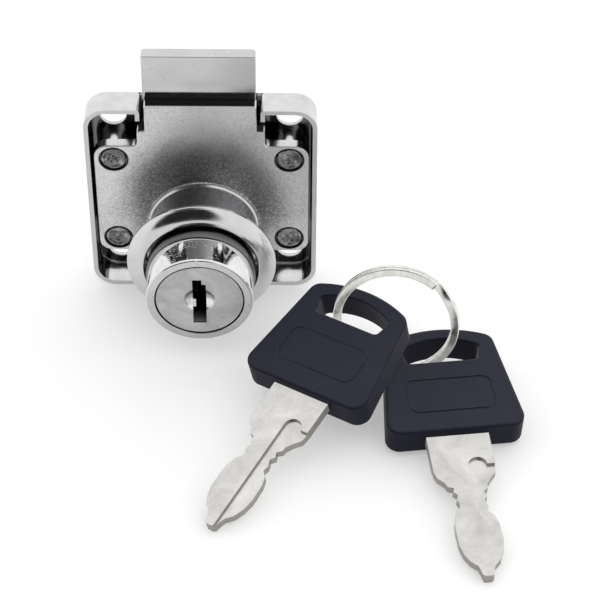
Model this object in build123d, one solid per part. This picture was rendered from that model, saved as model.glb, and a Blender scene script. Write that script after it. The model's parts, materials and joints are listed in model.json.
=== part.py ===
from build123d import *
import os
from math import sin, cos, tan, pi, radians, sqrt, atan2, degrees

os.makedirs("parts", exist_ok=True)

# ---------------------------------------------------------------------------
# Drawer rim lock with a sliding bolt and a round key cylinder.
# Frame: origin on the cylinder axis, in the plane that screws against the
# back of the drawer front (front edge of the case).  +X right, +Y into the
# drawer, +Z up.  The cylinder points along -Y.  Millimetres.
# ---------------------------------------------------------------------------

# case (pressed steel tray)
ZC = 6.0              # case centre above the cylinder axis
CASE_W = 40.0
CASE_H = 40.0
CASE_D = 5.9          # depth, front edge at y = 0
SHEET = 0.8
CASE_R = 4.0          # outer corner radius
BEND_R = 1.1          # outer bend between walls and back
HOLE_P = 30.5         # screw hole pitch, both ways
HOLE_D = 4.65
NOTCH_HW = 10.3       # half width of the notch in the top wall
FLANGE_T = 0.75       # turned-in ears beside the notch
FLANGE_Z = 23.7       # lower end of the ears

# die-cast plate and barrel
PL_Y0 = 0.5           # front face of the plate
PL_T = 2.0
PL_HW = 18.65
PL_Z0 = -6.0
PL_Z1 = 17.8
NECK_HW = 11.0
NECK_Z1 = 21.0
TAB_HW = 9.6
TAB_Z1 = 26.5
RIV_X = 15.2
RIV_Z = (14.9, -3.0)
RIV_R = 2.25
BAR_R = 9.5           # barrel behind the cap
BAR_CAP_R = 8.75      # barrel under the cap
CAP_R = 9.23
CAP_L = 6.0
FACE_Y = -19.2        # front of the cap
CAP_T = 0.45
PLUG_HEAD_R = 7.56
CAP_HOLE_R = 7.73
FOOT_R = 9.8          # short foot where the barrel meets the plate
FOOT_Y = -0.05
WALL_Y = -0.35        # plain barrel starts here
GROOVE = (-9.05, -9.75)
PLUG_R = 6.42
BORE_R = 6.48
DRIVER_R = 7.3

# trim ring
RING_R = 12.95
RING_HOLE_R = 9.85
RING_Y = -9.75        # front outline of the outer edge
RING_SLOPE = (49.0, 7.0)   # slope of the domed front at its outer and inner edge

# bolt
BOLT_HW = 9.65
BOLT_X = -0.15        # the bolt lies to one side of its play
GUIDE_X = 9.92
BOLT_T = 2.38
BOLT_Y0 = 2.6
BOLT_Z1 = 35.4
BOLT_Z0 = -3.3
ECC = 4.5             # eccentric of the driver pin, so the throw is 9 mm
PIN_R = 1.3

# keyway and wafers
KEY_W = 2.3
KEY_Z0 = -5.25
KEY_Z1 = 4.6
KEYWAY_END = -1.7
WAFER_Y = (-15.6, -13.2, -10.8, -8.4, -6.0, -3.6)
WAFER_T = 0.95


def xz_plate(face2d, y0, t):
    """Extrude an XZ outline (drawn as X, Z) from y0 towards +Y by t."""
    pl = Plane(origin=(0, y0, 0), x_dir=(1, 0, 0), z_dir=(0, -1, 0))
    return extrude(pl * face2d, amount=-t)


def cyl_y(r, y0, y1, x=0.0, z=0.0):
    h = abs(y1 - y0)
    return Pos(x, (y0 + y1) / 2, z) * Rot(90, 0, 0) * Cylinder(r, h)


def box(x0, x1, y0, y1, z0, z1):
    return Pos((x0 + x1) / 2, (y0 + y1) / 2, (z0 + z1) / 2) * Box(x1 - x0, y1 - y0, z1 - z0)


def revolve_y(pts):
    """Revolve an (r, y) outline about the Y axis."""
    return revolve(make_face(Polyline(*[(r, y) for r, y in pts], close=True)), axis=Axis.Y)


def one(shape):
    """A clean single solid or a compound of solids."""
    s = shape.solids()
    return s[0] if len(s) == 1 else Compound(list(s))


nodes = {}
Z0 = ZC - CASE_H / 2
Z1 = ZC + CASE_H / 2

# ---------------------------------------------------------------- case
def tray():
    o = xz_plate(Pos(0, ZC) * RectangleRounded(CASE_W, CASE_H, CASE_R), 0, CASE_D)
    back_edges = [e for e in o.edges() if abs(e.center().Y - CASE_D) < 1e-3 and abs(e.bounding_box().size.Y) < 1e-3]
    o = fillet(back_edges, BEND_R)
    i = xz_plate(Pos(0, ZC) * RectangleRounded(CASE_W - 2 * SHEET, CASE_H - 2 * SHEET, CASE_R - SHEET),
                 -1, CASE_D - SHEET + 1)
    back_edges = [e for e in i.edges() if abs(e.center().Y - (CASE_D - SHEET)) < 1e-3 and abs(e.bounding_box().size.Y) < 1e-3]
    i = fillet(back_edges, BEND_R - SHEET)
    c = o - i
    # notch for the bolt and the plate tab
    c -= box(-NOTCH_HW, NOTCH_HW, -1, CASE_D - SHEET, Z1 - 3.0, Z1 + 1)
    # ears turned in beside the notch
    for s in (-1, 1):
        a, b = sorted((s * NOTCH_HW, s * (NOTCH_HW + FLANGE_T)))
        ear = box(a, b, 0, CASE_D - SHEET - 0.6, FLANGE_Z, Z1)
        # rounded bend at the outer corner of the ear
        c += ear
        xe = s * NOTCH_HW
        edges = [e for e in c.edges().filter_by(Axis.Y) if abs(e.center().X - xe) < 1e-3 and abs(e.center().Z - Z1) < 1e-3]
        if edges:
            c = fillet(edges, 0.6)
    for sx in (-1, 1):
        for sz in (-1, 1):
            c -= cyl_y(HOLE_D / 2, 3, 8, sx * HOLE_P / 2, ZC + sz * HOLE_P / 2)
    return c


case = tray()
# rivet shank holes in the back wall, countersunk from behind
RSH = 1.45
for sx in (-1, 1):
    for z in RIV_Z:
        case -= cyl_y(RSH, 3, 8, sx * RIV_X, z)
nodes["case"] = case

# ---------------------------------------------------------------- lock body
plate_outline = make_face(Polyline(
    (-PL_HW, PL_Z0), (PL_HW, PL_Z0), (PL_HW, PL_Z1), (NECK_HW, PL_Z1),
    (NECK_HW, NECK_Z1), (TAB_HW, NECK_Z1), (TAB_HW, TAB_Z1),
    (-TAB_HW, TAB_Z1), (-TAB_HW, NECK_Z1), (-NECK_HW, NECK_Z1),
    (-NECK_HW, PL_Z1), (-PL_HW, PL_Z1), close=True))
plate = xz_plate(plate_outline, PL_Y0, PL_T)


def vedges(p, x, z, tol=1e-3):
    return [e for e in p.edges().filter_by(Axis.Y) if abs(abs(e.center().X) - x) < tol and abs(e.center().Z - z) < tol]


plate = fillet(vedges(plate, PL_HW, PL_Z1), 2.5)
plate = fillet(vedges(plate, PL_HW, PL_Z0), 2.2)
plate = fillet(vedges(plate, NECK_HW, PL_Z1), 0.9)
plate = fillet(vedges(plate, NECK_HW, NECK_Z1), 0.45)
plate = fillet(vedges(plate, TAB_HW, TAB_Z1), 0.3)
front = [e for e in plate.edges() if abs(e.bounding_box().size.Y) < 1e-4 and abs(e.center().Y - PL_Y0) < 1e-3]
plate = fillet(front, 0.22)

body = plate
# barrel
body += revolve_y([(0, PL_Y0 + 0.2), (FOOT_R, PL_Y0 + 0.2), (FOOT_R, FOOT_Y), (BAR_R, WALL_Y),
                   (BAR_R, GROOVE[0]), (BAR_R - 0.3, GROOVE[0] - 0.05), (BAR_R - 0.3, GROOVE[1] + 0.05),
                   (BAR_R, GROOVE[1]), (BAR_R, FACE_Y + CAP_L), (0, FACE_Y + CAP_L)])
body += cyl_y(BAR_CAP_R, PL_Y0 + 0.2, FACE_Y + CAP_T + 0.02)
ring = [e for e in body.edges().filter_by(GeomType.CIRCLE) if abs(e.radius - FOOT_R) < 1e-3 and abs(e.center().Y - PL_Y0) < 1e-2]
body = fillet(ring, 0.35)
# bosses behind the plate that set the distance to the back of the case
BOSS_END = CASE_D - SHEET - 0.02
for sx in (-1, 1):
    for z in RIV_Z:
        body += cyl_y(2.9, PL_Y0 + PL_T - 0.3, BOSS_END, sx * RIV_X, z)
# bolt guides behind the plate
for s in (-1, 1):
    a, b = sorted((s * GUIDE_X, s * (GUIDE_X + 1.03)))
    body += box(a, b, PL_Y0 + PL_T - 0.3, BOSS_END, 1.5, 19.5)
# bore, counterbore for the plug head, pocket for the driver disc
body -= cyl_y(BORE_R, -30, 10)
body -= cyl_y(CAP_HOLE_R, -30, -17.35)
body -= cyl_y(DRIVER_R + 0.2, 0.9, 2.6)
# the guides and bosses stay clear of the driver pocket; rivet holes
for sx in (-1, 1):
    for z in RIV_Z:
        body -= cyl_y(RSH, -1, 8, sx * RIV_X, z)
        body -= cyl_y(RIV_R + 0.12, PL_Y0 - 0.5, PL_Y0 + 0.85, sx * RIV_X, z)
# detent hole, radial, at the bottom of the barrel
DET_Y = -0.45
body -= Pos(0, DET_Y, -8.2) * Cylinder(0.86, 5.0)
nodes["lock_body"] = body

# ---------------------------------------------------------------- rivets
def rivet(x, z):
    # low domed head sunk in the plate, pressed in the middle; closed tail
    h = revolve_y([(0, PL_Y0 + 0.3), (0.45, PL_Y0 + 0.28), (0.95, PL_Y0 + 0.12), (1.35, PL_Y0 + 0.06),
                   (1.85, PL_Y0 + 0.1), (2.15, PL_Y0 + 0.3), (RIV_R, PL_Y0 + 0.5), (RIV_R, PL_Y0 + 0.85),
                   (RSH - 0.0, PL_Y0 + 0.85), (RSH - 0.0, CASE_D), (2.3, CASE_D),
                   (2.2, CASE_D + 0.3), (1.6, CASE_D + 0.55), (0, CASE_D + 0.62)])
    return Pos(x, 0, z) * h


nodes["rivets"] = Compound([rivet(sx * RIV_X, z).solids()[0] for sx in (-1, 1) for z in RIV_Z])

# ---------------------------------------------------------------- cap
CY1 = FACE_Y + CAP_L
cap = revolve_y([(BAR_CAP_R, CY1), (CAP_R - 0.38, CY1), (CAP_R - 0.21, CY1 - 0.03), (CAP_R - 0.09, CY1 - 0.11),
                 (CAP_R - 0.02, CY1 - 0.25), (CAP_R, CY1 - 0.42),
                 (CAP_R, FACE_Y + 0.42), (CAP_R - 0.03, FACE_Y + 0.25), (CAP_R - 0.12, FACE_Y + 0.11),
                 (CAP_R - 0.26, FACE_Y + 0.025), (CAP_R - 0.42, FACE_Y),
                 (CAP_HOLE_R + 0.1, FACE_Y), (CAP_HOLE_R + 0.02, FACE_Y + 0.04), (CAP_HOLE_R, FACE_Y + 0.12),
                 (CAP_HOLE_R, FACE_Y + CAP_T), (BAR_CAP_R, FACE_Y + CAP_T)])
nodes["barrel_cap"] = cap

# ---------------------------------------------------------------- trim ring
def trim_profile():
    """Pressed ring: domed front, steep outside and nearly flat inside, rolled into the hole."""
    y0 = RING_Y
    pts = [(RING_R - 0.3, y0 + 0.75), (RING_R, y0 + 0.5), (RING_R, y0 + 0.12)]
    n = 12
    r0, r1 = RING_R - 0.07, RING_HOLE_R + 0.36
    y = y0
    pts.append((r0, y))
    for i in range(n):
        s = radians(RING_SLOPE[0] + (RING_SLOPE[1] - RING_SLOPE[0]) * (i + 0.5) / n)
        y -= tan(s) * (r0 - r1) / n
        pts.append((r0 - (r0 - r1) * (i + 1) / n, y))
    pts += [(RING_HOLE_R + 0.2, y + 0.02), (RING_HOLE_R + 0.08, y + 0.1), (RING_HOLE_R + 0.02, y + 0.22),
            (RING_HOLE_R, y + 0.38), (RING_HOLE_R, y0 + 0.75), (RING_HOLE_R + 0.75, y0 + 0.75),
            (RING_HOLE_R + 0.75, y + 0.95), (RING_HOLE_R + 1.1, y + 0.85), (RING_R - 1.1, y0 + 0.35),
            (RING_R - 0.75, y0 + 0.75)]
    return pts


nodes["trim_ring"] = revolve_y(trim_profile())

# ---------------------------------------------------------------- plug
plug = cyl_y(PLUG_R, -17.6, 0.8)
plug += revolve_y([(0, FACE_Y + 0.12), (PLUG_HEAD_R - 0.12, FACE_Y + 0.12), (PLUG_HEAD_R, FACE_Y + 0.24),
                   (PLUG_HEAD_R, -17.4), (0, -17.4)])
# shallow conical dimple round the keyhole
plug -= revolve_y([(0, FACE_Y - 0.2), (2.7, FACE_Y - 0.2), (2.62, FACE_Y + 0.12), (2.25, FACE_Y + 0.42), (1.7, FACE_Y + 0.68),
                   (0.9, FACE_Y + 0.88), (0, FACE_Y + 0.94)])
# keyway, narrower at the top, with a ward along each side
kw = box(-KEY_W / 2, KEY_W / 2, -25, KEYWAY_END, KEY_Z0, KEY_Z1 - 1.0)
kw += box(-KEY_W / 2, KEY_W / 2 - 0.72, -25, KEYWAY_END, KEY_Z1 - 1.2, KEY_Z1)
ward = box(-KEY_W / 2 - 0.1, -KEY_W / 2 + 0.5, FACE_Y + 0.9, KEYWAY_END - 0.3, -2.2, -0.4)
kw -= ward
plug -= kw
# wafer slots, open at top and bottom, with room for the lug and its spring
for y in WAFER_Y:
    plug -= box(-3.55, 3.55, y - 0.53, y + 0.53, -8, 8)
    plug -= box(3.0, 5.75, y - 0.53, y + 0.53, -3.75, 3.3)
# detent groove with two deeper pockets, half a turn apart
grv = revolve_y([(PLUG_R - 0.42, DET_Y - 0.45), (PLUG_R + 1, DET_Y - 1.6), (PLUG_R + 1, DET_Y + 1.6), (PLUG_R - 0.42, DET_Y + 0.45)])
plug -= grv
# square tail for the driver disc, and the thread for its screw
TAIL = 3.1
plug += box(-TAIL, TAIL, 0.7, 2.3, -TAIL, TAIL)
plug -= cyl_y(1.25, -1.45, 3)
plug -= revolve_y([(0, 3.0), (2.3, 3.0), (2.3, 2.25), (1.25, 1.15), (0, 1.15)])
nodes["plug"] = plug

# ---------------------------------------------------------------- driver
disc = cyl_y(DRIVER_R, 0.95, 2.35)
disc -= box(-TAIL - 0.02, TAIL + 0.02, 0, 3, -TAIL - 0.02, TAIL + 0.02)
disc -= cyl_y(PIN_R, 0, 3, 0, ECC)
nodes["driver_disc"] = disc
pin = cyl_y(PIN_R, 1.0, 4.85, 0, ECC)
pe = [e for e in pin.edges().filter_by(GeomType.CIRCLE) if abs(e.center().Y - 4.85) < 1e-3]
pin = chamfer(pe, 0.2)
nodes["driver_pin"] = pin
scr = revolve_y([(0, 2.25), (2.2, 2.25), (2.25, 2.2), (1.23, 1.16), (1.23, -1.2), (1.0, -1.42), (0, -1.42)])
scr -= box(-0.3, 0.3, 1.85, 3, -1.5, 1.5)
scr -= box(-1.5, 1.5, 1.85, 3, -0.3, 0.3)
nodes["driver_screw"] = scr

# ---------------------------------------------------------------- detent
DB_R = 0.8
DB_Z = -(PLUG_R - 0.42 + 0.06 + DB_R)
nodes["detent_ball"] = Pos(0, DET_Y, DB_Z) * Sphere(DB_R)


def coil(r_mean, r_wire, z0, z1, pitch, at):
    """Compression spring along +Z."""
    h = z1 - z0 - 2 * r_wire
    helix = Helix(pitch, h, r_mean)
    sec = Plane(origin=helix @ 0, z_dir=helix % 0) * RegularPolygon(r_wire, 8)
    return Pos(at[0], at[1], z0 + r_wire) * sweep(sec, path=helix, is_frenet=True)


nodes["detent_spring"] = coil(0.52, 0.15, -9.03, DB_Z - DB_R - 0.02, 0.45, (0, DET_Y))
nodes["detent_screw"] = Pos(0, DET_Y, -9.25) * Cylinder(0.85, 0.4)

# ---------------------------------------------------------------- wafers
def wafer(y, zh):
    # outline trimmed to the plug's circle, with the key window at its own height
    w = cyl_y(PLUG_R - 0.05, y - WAFER_T / 2, y + WAFER_T / 2)
    w = w & box(-3.45, 3.45, y - 1, y + 1, -8, 8)
    w += box(3.2, 5.45, y - WAFER_T / 2, y + WAFER_T / 2, 0.6, 1.7)
    w -= box(-KEY_W / 2 - 0.12, KEY_W / 2 + 0.12, y - 1, y + 1, KEY_Z0 - 0.05 + zh, KEY_Z1 + 0.05)
    w -= box(-KEY_W / 2 - 0.12, KEY_W / 2 + 0.12, y - 1, y + 1, KEY_Z0 - 0.05 + zh, 0)
    return w


CUTS = (0.3, 0.7, 0.15, 0.55, 0.35, 0.6)
for i, (y, c) in enumerate(zip(WAFER_Y, CUTS)):
    nodes["wafer_%d" % (i + 1)] = wafer(y, c)
springs = []
for y in WAFER_Y:
    springs.append(coil(0.36, 0.145, -3.7, 0.57, 0.62, (4.55, y)).solids()[0])
nodes["wafer_springs"] = Compound(springs)

# ---------------------------------------------------------------- bolt
bolt = box(BOLT_X - BOLT_HW, BOLT_X + BOLT_HW, BOLT_Y0, BOLT_Y0 + BOLT_T, BOLT_Z0, BOLT_Z1)
be = [e for e in bolt.edges().filter_by(Axis.Z)]
bolt = fillet([e for e in be if e.center().Y > BOLT_Y0 + 1], 0.7)
be = [e for e in bolt.edges().filter_by(Axis.Z) if abs(e.center().Y - BOLT_Y0) < 1e-3]
bolt = fillet(be, 0.2)
te = [e for e in bolt.edges() if abs(e.center().Z - BOLT_Z1) < 1e-3 and e.bounding_box().size.Z < 1e-3]
bolt = fillet(te, 0.18)
SLOT_H = 2 * PIN_R + 2 * 0.2105 * ECC + 0.36
slot = box(-ECC - PIN_R - 0.25, ECC + PIN_R + 0.25, 0, 8, ECC - SLOT_H / 2, ECC + SLOT_H / 2)
se = slot.edges().filter_by(Axis.Y)
slot = fillet(se, 0.8)
bolt -= slot
nodes["bolt"] = bolt

# side brake springs: two bowed steel strips between the bolt and its guides
# are not fitted on this pattern; the ball on the plug holds both ends.

# ---------------------------------------------------------------- keys
# Two cut keys with moulded bows on a split ring, lying beside the lock.
# Key frame: origin at the middle of the bow's slot, tip towards -Y, Z up.
BOW_T = 5.4
BOW_TOP = 4.9
BOW_BOT = -17.3
BOW_HW_TOP = 9.4
BOW_HW_BOT = 12.0
BOW_SHOULDER = 2.7
SLOT_L = 13.6
SLOT_W = 4.9
SLOT_CROWN = 2.6
SLOT_END = 0.7
BLADE_T = 1.9
BLADE = [(0, 5.3), (7.4, 5.3), (8.6, 4.9), (9.6, 3.9), (10.5, 3.5), (10.9, 2.5), (11.6, 2.8), (12.3, 2.1),
         (13.3, 2.5), (14.2, 2.15), (15.0, 2.35), (15.8, 3.1), (17.6, 3.6), (19.0, 3.75), (22.3, 3.7),
         (24.2, 3.2), (25.6, 2.4), (26.4, 1.45), (27.2, 1.15), (28.2, 0.95), (28.5, 0.55)]
BLADE_R = [(0, 5.3), (6.2, 5.2), (7.9, 5.0), (9.0, 4.0), (10.2, 3.2), (11.0, 3.1), (11.6, 2.35), (12.6, 2.7),
           (13.3, 2.1), (14.6, 2.55), (15.6, 2.3), (16.6, 3.2), (18.2, 3.65), (21.5, 3.75), (23.5, 3.35),
           (25.2, 2.6), (26.3, 1.5), (27.2, 1.15), (28.2, 0.95), (28.5, 0.55)]
ROOT_L = 7.0


def key_blade():
    left = [(-h, BOW_BOT - d) for d, h in BLADE]
    right = [(h, BOW_BOT - d) for d, h in BLADE_R]
    pts = [(-5.3, BOW_BOT + ROOT_L)] + left + right[::-1] + [(5.3, BOW_BOT + ROOT_L)]
    b = extrude(Pos(0, 0, -BLADE_T / 2) * make_face(Polyline(*pts, close=True)), amount=BLADE_T)
    tip = BOW_BOT - 30
    # milled flats, one on each face, that pass the wards of the keyway
    mill = box(0.75, 8, tip, BOW_BOT - 6.4, BLADE_T / 2 - 0.5, 3)
    mill += Pos(2.3, BOW_BOT - 6.4, BLADE_T / 2 - 0.5 + 1.5) * Cylinder(1.55, 3.0)
    b -= mill
    b -= Rot(0, 180, 0) * mill
    # anchor hole that the moulded bow fills
    b -= Pos(0, BOW_BOT + 3.6, 0) * Cylinder(1.6, 4)
    return b


def key_bow():
    # sides splay towards the blade and the top is a shallow arch
    arch = ThreePointArc((BOW_HW_TOP, BOW_SHOULDER), (0, BOW_TOP), (-BOW_HW_TOP, BOW_SHOULDER))
    rest = Polyline((-BOW_HW_TOP, BOW_SHOULDER), (-BOW_HW_BOT, BOW_BOT), (BOW_HW_BOT, BOW_BOT), (BOW_HW_TOP, BOW_SHOULDER))
    b = extrude(Pos(0, 0, -BOW_T / 2) * make_face(Curve() + [arch, rest]), amount=BOW_T)
    ve = b.edges().filter_by(Axis.Z)
    b = fillet([e for e in ve if e.center().Y < BOW_BOT + 0.1], 2.4)
    ve = b.edges().filter_by(Axis.Z)
    b = fillet([e for e in ve if abs(e.center().Y - BOW_SHOULDER) < 0.05 and abs(e.center().X) > 8], 2.2)
    fe = [e for e in b.edges() if e.bounding_box().size.Z < 1e-3]
    b = fillet(fe, 0.55)
    # slot for the ring
    crown = ThreePointArc((SLOT_L / 2, SLOT_END), (0, SLOT_CROWN), (-SLOT_L / 2, SLOT_END))
    base = Polyline((-SLOT_L / 2, SLOT_END), (-SLOT_L / 2 + 0.7, -SLOT_W / 2), (SLOT_L / 2 - 0.7, -SLOT_W / 2), (SLOT_L / 2, SLOT_END))
    sl = extrude(Pos(0, 0, -5) * make_face(Curve() + [crown, base]), amount=10)
    sl = fillet(sl.edges().filter_by(Axis.Z), 0.9)
    b -= sl
    se = [e for e in b.edges() if e.bounding_box().size.Z < 1e-3 and abs(abs(e.center().Z) - BOW_T / 2) < 1e-3
          and abs(e.center().Y) < SLOT_CROWN + 0.1 and abs(e.center().X) < SLOT_L / 2 + 0.05]
    b = fillet(se, 0.35)
    # moulded frame line on both faces
    fr = Pos(0, BOW_BOT + 7.4) * (RectangleRounded(15.2, 7.4, 2.0) - RectangleRounded(14.3, 6.5, 1.6))
    b -= extrude(Pos(0, 0, BOW_T / 2 - 0.28) * fr, amount=1)
    b -= extrude(Pos(0, 0, -BOW_T / 2 - 1 + 0.28) * fr, amount=1)
    return b


blade0 = key_blade()
bow0 = key_bow() - blade0

KEY1_AT = (26.59, -21.03, -2.85)
KEY1_ROT = (-32.15, 12.80, -3.00)      # yaw, pitch, roll in degrees
KEY2_AT = (41.20, -24.03, -9.16)
KEY2_ROT = (7.72, 4.81, 0.95)
KRING_AT = (33.66, -20.84, -2.98)
KRING_LEAN = 10.72
KRING_YAW = -8.12
KRING_R = 10.15


def key_loc(at, rot):
    return Pos(*at) * Rot(0, 0, rot[0]) * Rot(rot[1], 0, 0) * Rot(0, rot[2], 0)


nodes["key_1_blade"] = key_loc(KEY1_AT, KEY1_ROT) * blade0
nodes["key_1_bow"] = key_loc(KEY1_AT, KEY1_ROT) * bow0
nodes["key_2_blade"] = key_loc(KEY2_AT, KEY2_ROT) * blade0
nodes["key_2_bow"] = key_loc(KEY2_AT, KEY2_ROT) * bow0

# split ring: two flat turns side by side
rr, ra = 0.75, 0.82
prof = [(KRING_R - rr, -ra), (KRING_R + rr, -ra), (KRING_R + rr, -0.06), (KRING_R + rr - 0.15, 0),
        (KRING_R + rr, 0.06), (KRING_R + rr, ra), (KRING_R - rr, ra), (KRING_R - rr, 0.06),
        (KRING_R - rr + 0.15, 0), (KRING_R - rr, -0.06)]
kring = revolve_y(prof)
kring = fillet([e for e in kring.edges() if abs(abs(e.center().Y) - ra) < 1e-3], 0.25)
nodes["key_ring"] = Pos(*KRING_AT) * Rot(0, 0, KRING_YAW) * Rot(-KRING_LEAN, 0, 0) * kring


for name, shape in nodes.items():
    s = one(shape)
    s.label = name
    export_step(s, "parts/%s.step" % name)
    print("%-16s solids %d  volume %.2f" % (name, len(shape.solids()), sum(x.volume for x in shape.solids())))
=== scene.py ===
import bpy
import bmesh
import json
import math
from mathutils import Vector, Matrix


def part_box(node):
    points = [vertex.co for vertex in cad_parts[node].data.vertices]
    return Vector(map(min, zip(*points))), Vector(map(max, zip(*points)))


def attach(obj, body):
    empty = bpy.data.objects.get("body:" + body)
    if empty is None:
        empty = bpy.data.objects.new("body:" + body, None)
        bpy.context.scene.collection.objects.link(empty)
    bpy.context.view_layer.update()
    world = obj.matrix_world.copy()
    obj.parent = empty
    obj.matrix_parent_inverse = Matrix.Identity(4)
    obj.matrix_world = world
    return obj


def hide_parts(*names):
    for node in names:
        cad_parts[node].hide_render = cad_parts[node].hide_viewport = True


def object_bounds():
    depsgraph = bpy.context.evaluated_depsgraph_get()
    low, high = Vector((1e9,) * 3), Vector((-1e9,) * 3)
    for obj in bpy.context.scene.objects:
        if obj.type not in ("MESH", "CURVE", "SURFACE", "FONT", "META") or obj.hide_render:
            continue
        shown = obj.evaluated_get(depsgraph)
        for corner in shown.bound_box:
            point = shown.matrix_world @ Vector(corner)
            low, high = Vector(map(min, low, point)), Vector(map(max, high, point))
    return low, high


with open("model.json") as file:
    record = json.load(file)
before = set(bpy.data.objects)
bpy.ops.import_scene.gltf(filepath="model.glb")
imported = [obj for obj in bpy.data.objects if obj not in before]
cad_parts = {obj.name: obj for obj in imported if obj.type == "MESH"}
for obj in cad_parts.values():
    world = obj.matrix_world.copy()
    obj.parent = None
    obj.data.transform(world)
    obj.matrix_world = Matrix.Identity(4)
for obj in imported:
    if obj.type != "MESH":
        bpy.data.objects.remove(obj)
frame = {"nodes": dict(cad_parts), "record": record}
CAD_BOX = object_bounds()
NODES = frame["nodes"]
SC = bpy.context.scene

# ---------------------------------------------------------------------------
# material helpers: every finish is a node tree over object coordinates (m)
# ---------------------------------------------------------------------------


class Tree:
    def __init__(self, name):
        self.mat = bpy.data.materials.new(name)
        self.mat.use_nodes = True
        self.nt = self.mat.node_tree
        self.nt.nodes.clear()
        self.out = self.nt.nodes.new("ShaderNodeOutputMaterial")
        self.bsdf = self.nt.nodes.new("ShaderNodeBsdfPrincipled")
        self.nt.links.new(self.bsdf.outputs[0], self.out.inputs[0])
        self.tc = self.nt.nodes.new("ShaderNodeTexCoord")
        self.co = self.tc.outputs["Object"]

    def link(self, a, b):
        self.nt.links.new(a, b)

    def val(self, sock, v):
        if hasattr(v, "is_linked") or hasattr(v, "links"):
            self.link(v, sock)
        else:
            sock.default_value = v

    def noise(self, scale, detail=4.0, rough=0.55, dist=0.0, co=None):
        n = self.nt.nodes.new("ShaderNodeTexNoise")
        n.inputs["Scale"].default_value = scale
        n.inputs["Detail"].default_value = detail
        n.inputs["Roughness"].default_value = rough
        n.inputs["Distortion"].default_value = dist
        self.link(co or self.co, n.inputs["Vector"])
        return n.outputs["Fac"]

    def voronoi(self, scale, feature="F1", co=None, rand=1.0):
        n = self.nt.nodes.new("ShaderNodeTexVoronoi")
        n.feature = feature
        n.inputs["Scale"].default_value = scale
        n.inputs["Randomness"].default_value = rand
        self.link(co or self.co, n.inputs["Vector"])
        return n.outputs["Distance"]

    def mapping(self, scale=(1, 1, 1), rot=(0, 0, 0), loc=(0, 0, 0), co=None):
        n = self.nt.nodes.new("ShaderNodeMapping")
        n.inputs["Scale"].default_value = scale
        n.inputs["Rotation"].default_value = rot
        n.inputs["Location"].default_value = loc
        self.link(co or self.co, n.inputs["Vector"])
        return n.outputs["Vector"]

    def ramp(self, fac, stops, interp="LINEAR"):
        n = self.nt.nodes.new("ShaderNodeValToRGB")
        n.color_ramp.interpolation = interp
        els = n.color_ramp.elements
        while len(els) > 1:
            els.remove(els[-1])
        els[0].position = stops[0][0]
        els[0].color = self._c(stops[0][1])
        for p, c in stops[1:]:
            e = els.new(p)
            e.color = self._c(c)
        self.link(fac, n.inputs["Fac"])
        return n.outputs["Color"]

    @staticmethod
    def _c(c):
        if isinstance(c, (int, float)):
            return (c, c, c, 1)
        return (c[0], c[1], c[2], 1)

    def maprange(self, v, a, b, c, d, smooth=False):
        n = self.nt.nodes.new("ShaderNodeMapRange")
        n.interpolation_type = "SMOOTHSTEP" if smooth else "LINEAR"
        n.inputs["From Min"].default_value = a
        n.inputs["From Max"].default_value = b
        n.inputs["To Min"].default_value = c
        n.inputs["To Max"].default_value = d
        self.link(v, n.inputs["Value"])
        return n.outputs["Result"]

    def math(self, op, a, b=None, clamp=False):
        n = self.nt.nodes.new("ShaderNodeMath")
        n.operation = op
        n.use_clamp = clamp
        self.val(n.inputs[0], a)
        if b is not None:
            self.val(n.inputs[1], b)
        return n.outputs[0]

    def mix(self, fac, a, b, mode="MIX"):
        n = self.nt.nodes.new("ShaderNodeMix")
        n.data_type = "RGBA"
        n.blend_type = mode
        self.val(n.inputs["Factor"], fac)
        ia = [i for i in n.inputs if i.name == "A" and i.type == "RGBA"][0]
        ib = [i for i in n.inputs if i.name == "B" and i.type == "RGBA"][0]
        for sock, v in ((ia, a), (ib, b)):
            if isinstance(v, (int, float)):
                sock.default_value = (v, v, v, 1)
            elif isinstance(v, (tuple, list)):
                sock.default_value = (v[0], v[1], v[2], 1)
            else:
                self.link(v, sock)
        return [o for o in n.outputs if o.type == "RGBA"][0]

    def bump(self, height, strength, dist, normal=None):
        n = self.nt.nodes.new("ShaderNodeBump")
        n.inputs["Strength"].default_value = strength
        n.inputs["Distance"].default_value = dist
        self.link(height, n.inputs["Height"])
        if normal is not None:
            self.link(normal, n.inputs["Normal"])
        return n.outputs["Normal"]

    def xyz(self, co=None):
        n = self.nt.nodes.new("ShaderNodeSeparateXYZ")
        self.link(co or self.co, n.inputs[0])
        return n.outputs

    def radial(self, centre, axis="y"):
        """Distance from a line through centre along an axis, in metres."""
        m = self.mapping(loc=tuple(-c for c in centre))
        x, y, z = self.xyz(m)
        a, b = {"y": (x, z), "z": (x, y), "x": (y, z)}[axis]
        s = self.math("ADD", self.math("MULTIPLY", a, a), self.math("MULTIPLY", b, b))
        return self.math("SQRT", s), (x, y, z)

    def set(self, **kw):
        for k, v in kw.items():
            sock = self.bsdf.inputs[k.replace("_", " ")]
            if isinstance(v, tuple) and len(v) == 3:
                v = (*v, 1)
            self.val(sock, v)
        return self.mat


def edge_mask(t, radius, lo=0.02, hi=0.35):
    """1 on convex and concave edges within a radius, from the bevel normal."""
    b = t.nt.nodes.new("ShaderNodeBevel")
    b.samples = 4
    b.inputs["Radius"].default_value = radius
    g = t.nt.nodes.new("ShaderNodeNewGeometry")
    d = t.nt.nodes.new("ShaderNodeVectorMath")
    d.operation = "DOT_PRODUCT"
    t.link(b.outputs["Normal"], d.inputs[0])
    t.link(g.outputs["Normal"], d.inputs[1])
    return t.maprange(t.math("SUBTRACT", 1.0, d.outputs["Value"]), lo, hi, 0, 1), b.outputs["Normal"]


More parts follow.
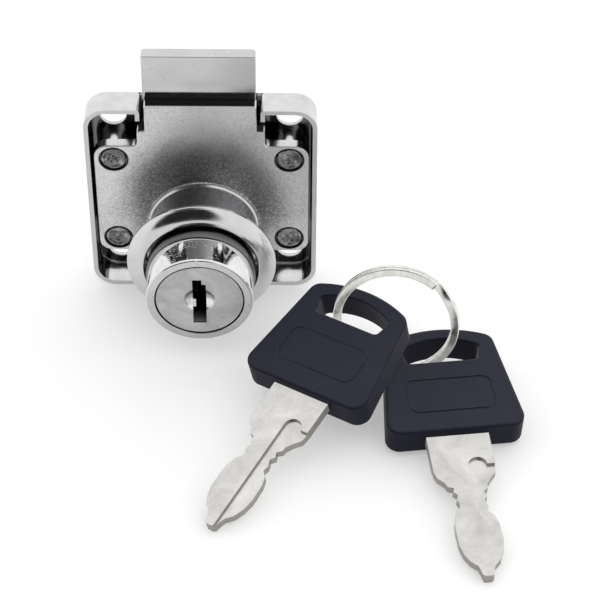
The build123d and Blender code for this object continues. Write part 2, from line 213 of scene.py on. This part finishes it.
def step(t, v, at, soft=0.00004, above=True):
    """1 where v is above (or below) a value, with a soft edge, in metres."""
    if above:
        return t.maprange(v, at - soft, at + soft, 0, 1)
    return t.maprange(v, at - soft, at + soft, 1, 0)


def both(t, *ms):
    r = ms[0]
    for m in ms[1:]:
        r = t.math("MULTIPLY", r, m)
    return r


# ---- finishes --------------------------------------------------------------

def mat_case():
    """Bright nickel on pressed sheet: mirror with faint draw marks and haze; the inside of the tray has painted shade.
    """
    t = Tree("bright_nickel_case")
    lo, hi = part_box("case")
    haze = t.noise(420, 5, 0.6)
    marks = t.noise(90, 3, 0.5, 0.3, t.mapping(scale=(14, 1.2, 1.2)))
    spots = t.ramp(t.voronoi(900), [(0.0, 1), (0.10, 1), (0.16, 0)])
    base = t.ramp(haze, [(0.3, (0.59, 0.595, 0.60)), (0.7, (0.70, 0.70, 0.705))])
    base = t.mix(t.math("MULTIPLY", spots, 0.18), base, (0.45, 0.44, 0.42))
    x, y, z = t.xyz()
    sheet = 0.0008
    # distance out from a rounded square, so that the outside of a corner isn't taken for the inside
    mid, rc = (lo + hi) / 2, 0.0040
    qx = t.math("MAXIMUM", t.math("SUBTRACT", t.math("ABSOLUTE", t.math("SUBTRACT", x, mid.x)), (hi.x - lo.x) / 2 - rc), 0.0)
    qz = t.math("MAXIMUM", t.math("SUBTRACT", t.math("ABSOLUTE", t.math("SUBTRACT", z, mid.z)), (hi.z - lo.z) / 2 - rc), 0.0)
    out = t.math("SQRT", t.math("ADD", t.math("MULTIPLY", qx, qx), t.math("MULTIPLY", qz, qz)))
    # painted shade: the inner walls of the tray are coloured near-black, mottled by the haze noise
    inside = both(t, step(t, out, rc - sheet + 0.0002, above=False), step(t, z, lo.z + sheet + 0.0004),
                  step(t, y, hi.y - sheet + 0.0002, above=False), step(t, y, lo.y + 0.00012))
    base = t.mix(inside, base, t.mix(haze, (0.10, 0.10, 0.105), (0.22, 0.22, 0.225)))
    rim = step(t, y, lo.y + 0.00005, 0.00003, above=False)
    base = t.mix(rim, base, t.mix(haze, (0.52, 0.52, 0.525), (0.68, 0.68, 0.68)))
    # the back is only barrelled, not polished: duller, with fine scratches
    back = step(t, y, hi.y - 0.00025, 0.00015)
    tumble = t.noise(260, 5, 0.65, 1.5)
    nick = both(t, t.ramp(t.noise(500, 3, 0.6, 2.5, t.mapping(scale=(0.5, 1, 3.0), rot=(0, 0.6, 0))), [(0.62, 0), (0.70, 1)]),
                t.ramp(t.noise(120, 3, 0.6), [(0.50, 0), (0.62, 1)]))
    dull = t.ramp(tumble, [(0.34, (0.375, 0.378, 0.385)), (0.50, (0.425, 0.428, 0.435)), (0.68, (0.475, 0.478, 0.485))])
    base = t.mix(back, base, t.mix(t.math("MULTIPLY", nick, 0.35), dull, (0.66, 0.66, 0.665)))
    wear, _ = edge_mask(t, 0.00014)
    base = t.mix(t.math("MULTIPLY", wear, 0.45), base, (0.92, 0.92, 0.92))
    rough = t.maprange(haze, 0.3, 0.75, 0.06, 0.15)
    rough = t.math("ADD", rough, t.math("MULTIPLY", back, 0.16))
    rough = t.math("ADD", rough, t.maprange(marks, 0.4, 0.8, 0.0, 0.08))
    rough = t.math("ADD", rough, t.math("MULTIPLY", rim, 0.34))
    floor_in = both(t, step(t, z, lo.z + sheet + 0.0004, above=False), step(t, z, lo.z + sheet - 0.0002))
    rough = t.math("ADD", rough, t.math("MULTIPLY", floor_in, 0.08))
    n = t.bump(t.noise(160, 2, 0.5), 0.05, 0.00025)
    n = t.bump(marks, 0.04, 0.0001, n)
    return t.set(Base_Color=base, Metallic=1.0, Roughness=rough, Normal=n)


def mat_plate():
    """Nickel over a sand-textured die casting: satin, speckled, with painted shade darkening it towards the barrel;
    ground end on the tab.
    """
    t = Tree("satin_cast_nickel")
    lo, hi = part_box("lock_body")
    grain = t.noise(3300, 2, 0.6)
    coarse = t.noise(1500, 3, 0.6)
    fine = t.noise(6500, 2, 0.6)
    cloud = t.noise(130, 3, 0.5, 0.4)
    r, (x, y, z) = t.radial((0, 0, 0))
    # painted shade: the plate is coloured darker towards the barrel, mottled by a cloud noise
    r2, _ = t.radial((0, 0, 0.0048))
    dark = t.maprange(r2, 0.0080, 0.0178, 1.0, 0.0, True)
    dark = t.math("ADD", dark, t.maprange(cloud, 0.35, 0.7, -0.14, 0.18))
    base = t.ramp(dark, [(0.0, (0.67, 0.675, 0.68)), (0.35, (0.52, 0.525, 0.53)), (0.7, (0.35, 0.353, 0.358)), (1.0, (0.24, 0.242, 0.248))])
    speck = t.ramp(grain, [(0.34, 1), (0.47, 0.2), (0.56, 0)])
    base = t.mix(t.math("MULTIPLY", speck, t.maprange(dark, 0, 1, 0.20, 0.70)), base, (0.13, 0.13, 0.135))
    clump = t.ramp(coarse, [(0.30, 1), (0.42, 0.3), (0.5, 0)])
    base = t.mix(t.math("MULTIPLY", clump, t.maprange(dark, 0, 1, 0.08, 0.42)), base, (0.11, 0.11, 0.115))
    bright = t.ramp(grain, [(0.53, 0), (0.68, 1)])
    base = t.mix(t.math("MULTIPLY", bright, t.maprange(dark, 0, 1, 0.22, 0.40)), base, (0.90, 0.90, 0.90))
    wear, _ = edge_mask(t, 0.00016)
    base = t.mix(t.math("MULTIPLY", wear, 0.6), base, (0.93, 0.93, 0.93))
    # the turned barrel and the ground end of the tab are smoother than the cast plate
    barrel = both(t, step(t, r, 0.00995, above=False), step(t, y, 0.00022, above=False))
    polished = t.mix(cloud, (0.46, 0.465, 0.47), (0.60, 0.605, 0.61))
    # painted shade on the barrel in front of the trim ring, darkest next to the ring
    polished = t.mix(step(t, y, -0.0111, 0.0002, above=False), polished, t.ramp(t.maprange(y, -0.0132, -0.0112, 0, 1), [(0, 0.22), (0.6, 0.10), (1, 0.02)]))
    base = t.mix(barrel, base, polished)
    # painted shade: a near-black ring in the counterbore round each rivet
    rl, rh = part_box("rivets")
    px = t.math("SUBTRACT", t.math("ABSOLUTE", x), rh.x - 0.0023)
    mid = (rl.z + rh.z) / 2
    pz = t.math("SUBTRACT", t.math("ABSOLUTE", t.math("SUBTRACT", z, mid)), rh.z - 0.0023 - mid)
    rr = t.math("SQRT", t.math("ADD", t.math("MULTIPLY", px, px), t.math("MULTIPLY", pz, pz)))
    gap = both(t, step(t, rr, 0.00262, 0.00006, above=False), step(t, y, 0.00004, 0.00003), step(t, y, 0.0015, above=False))
    base = t.mix(gap, base, (0.02, 0.02, 0.021))
    end = step(t, z, hi.z - 0.00004, 0.00002)
    base = t.mix(end, base, (0.55, 0.55, 0.555))
    edge = step(t, y, 0.00078, 0.00003)
    base = t.mix(t.math("MULTIPLY", edge, 0.6), base, (0.66, 0.665, 0.67))
    smooth = t.math("MAXIMUM", barrel, t.math("MULTIPLY", edge, 0.75))
    rough = t.mix(smooth, t.maprange(grain, 0.3, 0.7, 0.46, 0.30), t.maprange(coarse, 0.3, 0.7, 0.13, 0.21))
    rough = t.mix(end, rough, 0.05)
    amount = t.math("SUBTRACT", 1.0, t.math("MAXIMUM", smooth, end))
    amount = t.math("MULTIPLY", amount, t.maprange(dark, 0, 0.7, 0.45, 1.0))
    h = t.math("MULTIPLY", grain, amount)
    n = t.bump(h, 0.55, 0.00007)
    n = t.bump(t.math("MULTIPLY", fine, amount), 0.3, 0.00002, n)
    return t.set(Base_Color=base, Metallic=1.0, Roughness=rough, Normal=n)


def mat_rivet():
    """Dark steel rivets: dull pressed centre, worn rim."""
    t = Tree("gunmetal_rivet")
    g = t.noise(1500, 4, 0.6)
    b = t.noise(420, 3, 0.6, 0.8)
    base = t.ramp(b, [(0.30, (0.075, 0.075, 0.078)), (0.50, (0.18, 0.18, 0.184)), (0.68, (0.48, 0.48, 0.485))])
    wear, _ = edge_mask(t, 0.00018, 0.01, 0.2)
    base = t.mix(t.math("MULTIPLY", wear, 0.65), base, (0.62, 0.62, 0.62))
    n = t.bump(g, 0.3, 0.00005)
    return t.set(Base_Color=base, Metallic=1.0, Roughness=t.maprange(g, 0.3, 0.7, 0.20, 0.34), Normal=n)


def mat_cap():
    """Mirror chrome with small blisters that glint in its dark reflections."""
    t = Tree("mirror_chrome_cap")
    pits = t.ramp(t.voronoi(2600), [(0.0, 1), (0.14, 1), (0.26, 0)])
    sel = t.ramp(t.noise(420, 3, 0.6), [(0.48, 0), (0.56, 1)])
    p = t.math("MULTIPLY", pits, sel)
    haze = t.noise(300, 4, 0.6)
    base = t.mix(t.math("MULTIPLY", p, 0.5), t.ramp(haze, [(0.3, (0.69, 0.69, 0.70)), (0.7, (0.79, 0.79, 0.795))]), (0.95, 0.95, 0.95))
    rough = t.math("ADD", t.maprange(haze, 0.3, 0.75, 0.035, 0.085), t.math("MULTIPLY", p, 0.45))
    r, (x, y, z) = t.radial((0, 0, 0))
    lo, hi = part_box("barrel_cap")
    bore = both(t, step(t, r, 0.00782, 0.00003, above=False), step(t, y, lo.y + 0.00012, 0.00005))
    face = step(t, y, lo.y + 0.00008, 0.00005, above=False)
    dull_face_painted_shade = t.mix(haze, (0.50, 0.50, 0.505), (0.62, 0.62, 0.625))
    # painted shade: the duller front face is also coloured darker towards the bottom
    dull_face_painted_shade = t.mix(t.maprange(z, -0.0095, 0.0045, 0.60, 0.0), dull_face_painted_shade, (0.22, 0.22, 0.225))
    base = t.mix(t.math("MULTIPLY", face, 0.85), base, dull_face_painted_shade)
    rough = t.math("ADD", rough, t.math("MULTIPLY", face, 0.12))
    # painted shade: the cap's inner wall round the plug is coloured near-black
    base = t.mix(bore, base, (0.015, 0.015, 0.016))
    n = t.bump(t.noise(220, 2, 0.5), 0.05, 0.0002)
    n = t.bump(p, 0.7, 0.00007, n)
    return t.set(Base_Color=base, Metallic=1.0, Roughness=rough, Normal=n)


def mat_trim():
    """Polished ring with a light haze and fine turning marks."""
    t = Tree("polished_trim_ring")
    haze = t.noise(600, 4, 0.6)
    r, (x, y, z) = t.radial((0, 0, 0))
    turn = t.nt.nodes.new("ShaderNodeCombineXYZ")
    t.link(r, turn.inputs[0])
    rings = t.noise(9000, 2, 0.5, 0.0, turn.outputs[0])
    smud = t.noise(140, 4, 0.6, 0.8)
    base = t.ramp(smud, [(0.3, (0.55, 0.55, 0.555)), (0.7, (0.65, 0.65, 0.655))])
    rough = t.maprange(haze, 0.3, 0.7, 0.085, 0.15)
    rough = t.math("ADD", rough, t.maprange(smud, 0.45, 0.75, 0.0, 0.06))
    n = t.bump(haze, 0.06, 0.00004)
    n = t.bump(rings, 0.04, 0.00001, n)
    return t.set(Base_Color=base, Metallic=1.0, Roughness=rough, Normal=n)


def mat_plug():
    """Satin plug; painted shade darkens the keyway with depth."""
    t = Tree("satin_plug_face")
    lo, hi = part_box("plug")
    haze = t.noise(520, 4, 0.6, 0.3)
    fine = t.noise(3200, 2, 0.6)
    smud = t.noise(170, 4, 0.6, 1.2)
    base = t.ramp(smud, [(0.30, (0.35, 0.355, 0.36)), (0.50, (0.43, 0.43, 0.435)), (0.72, (0.52, 0.52, 0.525))])
    base = t.mix(t.math("MULTIPLY", t.ramp(fine, [(0.35, 1), (0.5, 0)]), 0.22), base, (0.3, 0.3, 0.3))
    x, y, z = t.xyz()
    # painted shade: the keyway's walls are coloured darker with depth
    slot = both(t, step(t, t.math("ABSOLUTE", x), 0.00122, 0.00003, above=False), step(t, y, lo.y + 0.00030, 0.0001))
    deep = t.maprange(y, lo.y + 0.0003, lo.y + 0.0020, 0.30, 0.94)
    base = t.mix(t.math("MULTIPLY", slot, deep), base, (0.012, 0.012, 0.013))
    # the keyway's floor is rough as cast; its colour is painted light near the mouth, fading to painted shade deeper in
    low = both(t, slot, t.maprange(z, -0.0052, -0.0046, 1, 0))
    base = t.mix(low, base, t.ramp(t.maprange(y, lo.y + 0.0003, lo.y + 0.0034, 0, 1), [(0, 0.50), (0.5, 0.24), (1, 0.03)]))
    dish, _ = t.radial((0, 0, 0.0))
    # painted shade on the upper half of the dimple in the plug's face
    dimple_top_painted_shade = both(t, step(t, dish, 0.0026, 0.0002, above=False), step(t, dish, 0.0016, 0.0003), t.maprange(z, 0.0002, 0.0012, 0, 1))
    base = t.mix(t.math("MULTIPLY", dimple_top_painted_shade, 0.75), base, (0.04, 0.04, 0.042))
    # painted highlight on the lower half of the dimple in the plug's face
    dimple_low_painted_highlight = both(t, step(t, dish, 0.0025, 0.0003, above=False), t.maprange(z, -0.0004, 0.0002, 1, 0), step(t, y, lo.y + 0.0009, 0.0002, above=False))
    base = t.mix(t.math("MULTIPLY", dimple_low_painted_highlight, 0.85), base, (0.86, 0.86, 0.86))
    r, _ = t.radial((0, 0, 0))
    # painted shade: a near-black ring round the plug's face, between plug and cap
    base = t.mix(both(t, step(t, r, 0.00744, 0.00004), step(t, y, lo.y + 0.00004, 0.00003)), base, (0.012, 0.012, 0.013))
    rough = t.mix(low, t.maprange(haze, 0.3, 0.7, 0.22, 0.34), (0.85, 0.85, 0.85))
    n = t.bump(smud, 0.12, 0.0002)
    n = t.bump(fine, 0.12, 0.00002, n)
    return t.set(Base_Color=base, Metallic=1.0, Roughness=rough, Normal=n)


def mat_bolt():
    """Plated steel bar: even grey, nearly mirror, with faint stains and rubs along its length."""
    t = Tree("nickel_steel_bolt")
    fine = t.noise(1800, 4, 0.6)
    brush = t.noise(260, 4, 0.65, 0.0, t.mapping(scale=(9, 1, 0.45)))
    stain = t.noise(210, 5, 0.7, 0.9)
    dots = both(t, t.ramp(t.voronoi(1100), [(0.0, 1), (0.10, 1), (0.20, 0)]), t.ramp(t.noise(330, 3, 0.6), [(0.52, 0), (0.62, 1)]))
    base = t.ramp(t.noise(90, 3, 0.5), [(0.3, (0.52, 0.523, 0.53)), (0.7, (0.62, 0.623, 0.63))])
    st = t.ramp(stain, [(0.58, 0), (0.72, 1)])
    base = t.mix(t.math("MULTIPLY", st, 0.35), base, (0.32, 0.318, 0.31))
    base = t.mix(t.math("MULTIPLY", dots, 0.5), base, (0.26, 0.255, 0.25))
    wear, _ = edge_mask(t, 0.00012)
    base = t.mix(t.math("MULTIPLY", wear, 0.35), base, (0.85, 0.85, 0.85))
    x, y, z = t.xyz()
    lo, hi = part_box("bolt")
    specks = both(t, t.ramp(t.voronoi(2300), [(0.0, 1), (0.12, 1), (0.24, 0)]), t.ramp(t.noise(500, 3, 0.6), [(0.48, 0), (0.60, 1)]),
                  t.maprange(z, hi.z - 0.0022, hi.z - 0.0003, 0, 1))
    base = t.mix(t.math("MULTIPLY", specks, 0.8), base, (0.92, 0.92, 0.92))
    rough = t.math("ADD", t.maprange(fine, 0.3, 0.7, 0.06, 0.11), t.math("MULTIPLY", st, 0.1))
    rough = t.math("ADD", rough, t.maprange(z, hi.z - 0.0078, hi.z - 0.0058, 0.0, 0.16))
    n = t.bump(brush, 0.035, 0.00002)
    n = t.bump(fine, 0.05, 0.00002, n)
    return t.set(Base_Color=base, Metallic=1.0, Roughness=rough, Normal=n)


def mat_small():
    t = Tree("zinc_plated_steel")
    g = t.noise(1400, 4, 0.6)
    base = t.ramp(g, [(0.3, (0.40, 0.40, 0.41)), (0.7, (0.62, 0.62, 0.64))])
    return t.set(Base_Color=base, Metallic=1.0, Roughness=t.maprange(g, 0.3, 0.7, 0.25, 0.4), Normal=t.bump(g, 0.15, 0.00004))


def mat_spring():
    t = Tree("spring_wire")
    g = t.noise(2200, 3, 0.6)
    base = t.ramp(g, [(0.3, (0.42, 0.43, 0.45)), (0.7, (0.66, 0.67, 0.69))])
    return t.set(Base_Color=base, Metallic=1.0, Roughness=t.maprange(g, 0.3, 0.7, 0.2, 0.32), Normal=t.bump(g, 0.1, 0.00002))


def mat_brass():
    """Stamped brass, dull, with painted shade making it dark inside the keyway."""
    t = Tree("stamped_brass")
    g = t.noise(1300, 4, 0.6)
    edge = t.noise(300, 3, 0.6, 0.5)
    base = t.ramp(edge, [(0.3, (0.40, 0.29, 0.12)), (0.7, (0.60, 0.46, 0.22))])
    x, y, z = t.xyz()
    # painted shade: the wafers are coloured near-black where they show in the keyway
    window = step(t, t.math("ABSOLUTE", x), 0.0017, 0.0002, above=False)
    base = t.mix(t.math("MULTIPLY", window, 0.90), base, (0.02, 0.018, 0.014))
    return t.set(Base_Color=base, Metallic=1.0, Roughness=t.maprange(g, 0.3, 0.7, 0.34, 0.50), Normal=t.bump(g, 0.15, 0.00004))


def mat_blade():
    """Nickel-plated stamped blade: pale, softly mottled, small nicks."""
    t = Tree("nickel_key_blade")
    g = t.noise(900, 4, 0.6)
    mott = t.noise(210, 4, 0.6, 0.6)
    pits = t.ramp(t.voronoi(1700), [(0.0, 1), (0.10, 1), (0.2, 0)])
    sel = t.ramp(t.noise(330, 3, 0.6), [(0.52, 0), (0.62, 1)])
    base = t.ramp(mott, [(0.3, (0.52, 0.51, 0.49)), (0.5, (0.63, 0.62, 0.60)), (0.7, (0.74, 0.73, 0.71))])
    base = t.mix(t.math("MULTIPLY", t.math("MULTIPLY", pits, sel), 0.6), base, (0.22, 0.20, 0.18))
    # sheared edges are duller and darker than the plated faces; the blade lies nearly flat
    _, _, nz = t.xyz(t.tc.outputs["Normal"])
    side = t.maprange(t.math("ABSOLUTE", nz), 0.55, 0.85, 1, 0)
    base = t.mix(t.math("MULTIPLY", side, 0.75), base, t.mix(g, (0.12, 0.105, 0.085), (0.34, 0.32, 0.29)))
    wear, _ = edge_mask(t, 0.00010, 0.02, 0.3)
    base = t.mix(t.math("MULTIPLY", wear, 0.30), base, (0.30, 0.28, 0.25))
    n = t.bump(g, 0.06, 0.00003)
    n = t.bump(pits, 0.05, 0.00002, n)
    rough = t.math("ADD", t.maprange(g, 0.3, 0.7, 0.20, 0.32), t.math("MULTIPLY", side, 0.15))
    return t.set(Base_Color=base, Metallic=1.0, Roughness=rough, Normal=n)


def mat_bow():
    """Moulded plastic, near-black navy with a fine spark-eroded texture and worn edges; its side faces have painted
    shade.
    """
    t = Tree("navy_moulded_plastic")
    tex = t.noise(2600, 3, 0.6)
    cloud = t.noise(70, 3, 0.5)
    base = t.ramp(cloud, [(0.3, (0.0105, 0.0115, 0.024)), (0.7, (0.0150, 0.0165, 0.034))])
    wear, _ = edge_mask(t, 0.0003, 0.03, 0.5)
    base = t.mix(t.math("MULTIPLY", wear, 0.30), base, (0.05, 0.05, 0.078))
    _, _, nz = t.xyz(t.tc.outputs["Normal"])
    # painted shade: faces standing on edge are coloured darker than those lying flat
    side = t.maprange(t.math("ABSOLUTE", nz), 0.45, 0.9, 1, 0)
    base = t.mix(t.math("MULTIPLY", side, 0.6), base, (0.004, 0.004, 0.013))
    n = t.bump(tex, 0.22, 0.00005)
    return t.set(Base_Color=base, Metallic=0.0, Roughness=t.maprange(tex, 0.3, 0.7, 0.44, 0.60),
                 Specular_IOR_Level=t.maprange(side, 0, 1, 0.26, 0.12), Normal=n)


def mat_ring():
    t = Tree("nickel_split_ring")
    g = t.noise(1000, 4, 0.6)
    base = t.ramp(g, [(0.3, (0.62, 0.61, 0.58)), (0.7, (0.84, 0.83, 0.81))])
    return t.set(Base_Color=base, Metallic=1.0, Roughness=t.maprange(g, 0.3, 0.7, 0.12, 0.26), Normal=t.bump(g, 0.12, 0.00004))


MATS = {
    "case_nickel": mat_case(), "zinc_plate": mat_plate(), "rivet_steel": mat_rivet(), "cap_chrome": mat_cap(),
    "trim_ring": mat_trim(), "plug_zinc": mat_plug(), "wafer_brass": mat_brass(), "spring_steel": mat_spring(),
    "small_steel": mat_small(), "bolt_steel": mat_bolt(), "key_nickel_silver": mat_blade(), "bow_plastic": mat_bow(),
    "ring_nickel": mat_ring(),
}
for sp in frame["record"]["subparts"]:
    o = NODES[sp["node"]]
    for s in o.material_slots:
        s.material = MATS[sp["material_slot"]]

# ---------------------------------------------------------------------------
# detailed pieces that stand for plain CAD nodes
# ---------------------------------------------------------------------------


def new_piece(name, verts, faces, body, node, slot_name, angle=35):
    me = bpy.data.meshes.new(name)
    me.from_pydata([tuple(v) for v in verts], [], faces)
    me.update()
    bm = bmesh.new()
    bm.from_mesh(me)
    bmesh.ops.recalc_face_normals(bm, faces=bm.faces)
    for e in bm.edges:
        e.smooth = not (len(e.link_faces) == 2 and e.calc_face_angle(0) > math.radians(angle))
    for f in bm.faces:
        f.smooth = True
    bm.to_mesh(me)
    bm.free()
    ob = bpy.data.objects.new(name, me)
    SC.collection.objects.link(ob)
    me.materials.append(MATS[slot_name])
    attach(ob, body)
    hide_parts(node)
    return ob


def lathe(verts, faces, cx, cz, profile, n, shape=None):
    """Adds a closed solid of revolution about a line along Y; the profile runs from axis to axis."""
    first = len(verts)
    verts.append((cx, profile[0][1], cz))
    for k, (r, y) in enumerate(profile[1:-1]):
        for i in range(n):
            a = 2 * math.pi * i / n
            dy = shape(r, a) if shape and k < shape_rows(profile) else 0.0
            verts.append((cx + r * math.cos(a), y + dy, cz + r * math.sin(a)))
    verts.append((cx, profile[-1][1], cz))
    last = len(verts) - 1
    rows = len(profile) - 2
    for i in range(n):
        j = (i + 1) % n
        faces.append((first, first + 1 + i, first + 1 + j))
        for k in range(rows - 1):
            a0 = first + 1 + k * n
            faces.append((a0 + i, a0 + n + i, a0 + n + j, a0 + j))
        b0 = first + 1 + (rows - 1) * n
        faces.append((b0 + i, last, b0 + j))


def shape_rows(profile):
    """How many rows of a profile lie on the front of the head, before its crest."""
    k = 0
    while k + 2 < len(profile) and profile[k + 2][0] > profile[k + 1][0]:
        k += 1
    return k


def make_rivets():
    lo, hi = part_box("rivets")
    tail = 0.0023
    y0, y1 = lo.y, hi.y
    verts, faces = [], []
    turn = 0.4
    for cx in (lo.x + tail, hi.x - tail):
        for cz in (lo.z + tail, hi.z - tail):
            front = [(0, y0 + 0.00030)]
            for k in range(1, 17):
                r = 0.00155 * k / 16
                front.append((r, y0 + 0.00034 - 0.00010 * (r / 0.00155) ** 2))
            front += [(0.00163, y0 + 0.00016), (0.00170, y0 + 0.00007), (0.00180, y0 + 0.00001), (0.00192, y0),
                      (0.00205, y0 + 0.00003), (0.00215, y0 + 0.00010), (0.00222, y0 + 0.00020), (0.00225, y0 + 0.00034),
                      (0.00225, y0 + 0.00079), (0.00145, y0 + 0.00079), (0.00145, 0.0059), (0.0023, 0.0059),
                      (0.00229, 0.0060), (0.0022, 0.0062), (0.0019, 0.00637), (0.0015, 0.00647), (0.0009, 0.00651), (0, y1)]

            def press(r, a, turn=turn):
                g = 0.0
                for m in range(3):
                    px, pz = 0.00072 * math.cos(turn + m * 2.0944), 0.00072 * math.sin(turn + m * 2.0944)
                    d2 = (r * math.cos(a) - px) ** 2 + (r * math.sin(a) - pz) ** 2
                    g += 0.00022 * math.exp(-d2 / (2 * 0.00033 ** 2))
                g -= 0.00014 * math.exp(-r * r / (2 * 0.00022 ** 2))
                return g * max(0.0, 1 - (r / 0.00150) ** 6)
            lathe(verts, faces, cx, cz, front, 64, press)
            turn += 1.3
    return new_piece("rivet_heads_and_tails", verts, faces, "lock", "rivets", "rivet_steel", 40)


def make_split_ring():
    """Two flat turns of wire side by side, crossing over in a short ramp, with cut ends."""
    lo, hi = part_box("key_ring")
    c = (lo + hi) / 2
    R, half_r, half_a, off = 0.01015, 0.00072, 0.00038, 0.00041
    yaw, lean = math.radians(-8.12), math.radians(10.72)
    place = Matrix.Translation(c) @ Matrix.Rotation(yaw, 4, "Z") @ Matrix.Rotation(-lean, 4, "X")
    start, ramp = math.radians(52), math.radians(24)
    n = 190
    total = 4 * math.pi - ramp - 0.012
    steps = n * 2
    corner = 0.00021
    sec = []
    for qx, qy, a0 in ((1, 1, 0), (-1, 1, 90), (-1, -1, 180), (1, -1, 270)):
        for k in range(5):
            a = math.radians(a0 + 90 * k / 4)
            sec.append((qx * (half_r - corner) + corner * math.cos(a), qy * (half_a - corner) + corner * math.sin(a)))
    m = len(sec)
    verts, faces = [], []

    def axial(u):
        t = (u - (2 * math.pi - ramp)) / ramp
        t = min(1.0, max(0.0, t))
        t = t * t * (3 - 2 * t)
        return off * (2 * t - 1)

    rows = [(0.0, 0.90)] + [(0.004 + (total - 0.008) * i / steps, 1.0) for i in range(steps + 1)] + [(total, 0.90)]
    for u, k in rows:
        th = start + u
        for sr, sa in sec:
            rr = R + sr * k
            verts.append(place @ Vector((rr * math.cos(th), axial(u) + sa * k, rr * math.sin(th))))
    for i in range(len(rows) - 1):
        for j in range(m):
            a, b = i * m + j, i * m + (j + 1) % m
            faces.append((a, b, b + m, a + m))
    faces.append(tuple(range(m)))
    e0 = (len(rows) - 1) * m
    faces.append(tuple(range(e0 + m - 1, e0 - 1, -1)))
    return new_piece("split_ring_two_turns", verts, faces, "key_ring", "key_ring", "ring_nickel", 50)


make_rivets()
make_split_ring()
for name in ("key_1_bow", "key_2_bow"):
    NODES[name].visible_glossy = False      # the keys' plastic leaves no dark blots in the chrome

# ---------------------------------------------------------------------------
# floor, light, camera
# ---------------------------------------------------------------------------
lo, hi = CAD_BOX
floor_z = lo[2]


def make_floor():
    bm = bmesh.new()
    bmesh.ops.create_grid(bm, x_segments=16, y_segments=16, size=6.0)
    me = bpy.data.meshes.new("studio_floor")
    bm.to_mesh(me)
    bm.free()
    ob = bpy.data.objects.new("studio_floor", me)
    ob.location = (0, 0, floor_z - 0.00015)
    for p in me.polygons:
        p.use_smooth = True
    SC.collection.objects.link(ob)
    t = Tree("pale_floor")
    g = t.noise(35, 3, 0.5)
    base = t.ramp(g, [(0.3, (0.69, 0.69, 0.69)), (0.7, (0.72, 0.72, 0.72))])
    me.materials.append(t.set(Base_Color=base, Roughness=0.6, Emission_Color=(1, 1, 1), Emission_Strength=0.35))
    return ob


make_floor()

world = bpy.data.worlds.new("studio")
SC.world = world
world.use_nodes = True
wn = world.node_tree
bg = wn.nodes["Background"]
tcw = wn.nodes.new("ShaderNodeTexCoord")
sep = wn.nodes.new("ShaderNodeSeparateXYZ")
wn.links.new(tcw.outputs["Generated"], sep.inputs[0])


def wmath(op, a, b=None, clamp=False):
    n = wn.nodes.new("ShaderNodeMath")
    n.operation = op
    n.use_clamp = clamp
    for i, v in enumerate((a, b)):
        if v is None:
            continue
        if isinstance(v, (int, float)):
            n.inputs[i].default_value = v
        else:
            wn.links.new(v, n.inputs[i])
    return n.outputs[0]


# a soft white studio with one dark opening in front of the object, where a photographer stands
front = wmath("MAXIMUM", wmath("MULTIPLY", sep.outputs[1], -1.0), 0.02)
u = wmath("DIVIDE", sep.outputs[0], front)
v = wmath("DIVIDE", sep.outputs[2], front)
du = wmath("DIVIDE", wmath("SUBTRACT", u, -0.46), 0.80)
dv = wmath("DIVIDE", wmath("SUBTRACT", v, 0.66), 0.86)
q = wmath("ADD", wmath("MULTIPLY", du, du), wmath("MULTIPLY", dv, dv))
rampw = wn.nodes.new("ShaderNodeMapRange")
rampw.interpolation_type = "SMOOTHSTEP"
rampw.inputs["From Min"].default_value = 0.72
rampw.inputs["From Max"].default_value = 1.30
rampw.inputs["To Min"].default_value = 0.02
rampw.inputs["To Max"].default_value = 1.0
wn.links.new(q, rampw.inputs["Value"])
behind = wmath("GREATER_THAN", sep.outputs[1], -0.02)
level = wmath("MAXIMUM", rampw.outputs["Result"], behind)
wn.links.new(level, bg.inputs["Color"])
bg.inputs["Strength"].default_value = 1.12

# camera: the photograph's direction and perspective, framed wider for the keys
EL, AZ, ROLL, DIST = 40.47, 3.32, 0.30, 0.38425
ANCHOR = Vector((0, 0, 0.00667))
e, a, r = (math.radians(v) for v in (EL, AZ, ROLL))
back = Vector((math.sin(a) * math.cos(e), -math.cos(a) * math.cos(e), math.sin(e)))
cam_data = bpy.data.cameras.new("camera")
cam = bpy.data.objects.new("camera", cam_data)
SC.collection.objects.link(cam)
cam_data.sensor_width = 36
cam_data.clip_start, cam_data.clip_end = 0.01, 20
cam.location = ANCHOR + back * DIST
aim = Vector((0.0165, -0.020, 0.002))
bk = (cam.location - aim).normalized()
right = Vector((0, 0, 1)).cross(bk).normalized(); up = bk.cross(right)
c, s = math.cos(r), math.sin(r)
R2 = c * right + s * up; U2 = -s * right + c * up
cam.matrix_world = Matrix(((R2.x, U2.x, bk.x, cam.location.x), (R2.y, U2.y, bk.y, cam.location.y), (R2.z, U2.z, bk.z, cam.location.z), (0, 0, 0, 1)))
cam_data.lens = 0.78 * 2806.15 * 36 / 592
SC.camera = cam
SC.view_settings.view_transform = "Standard"
SC.view_settings.look = "None"
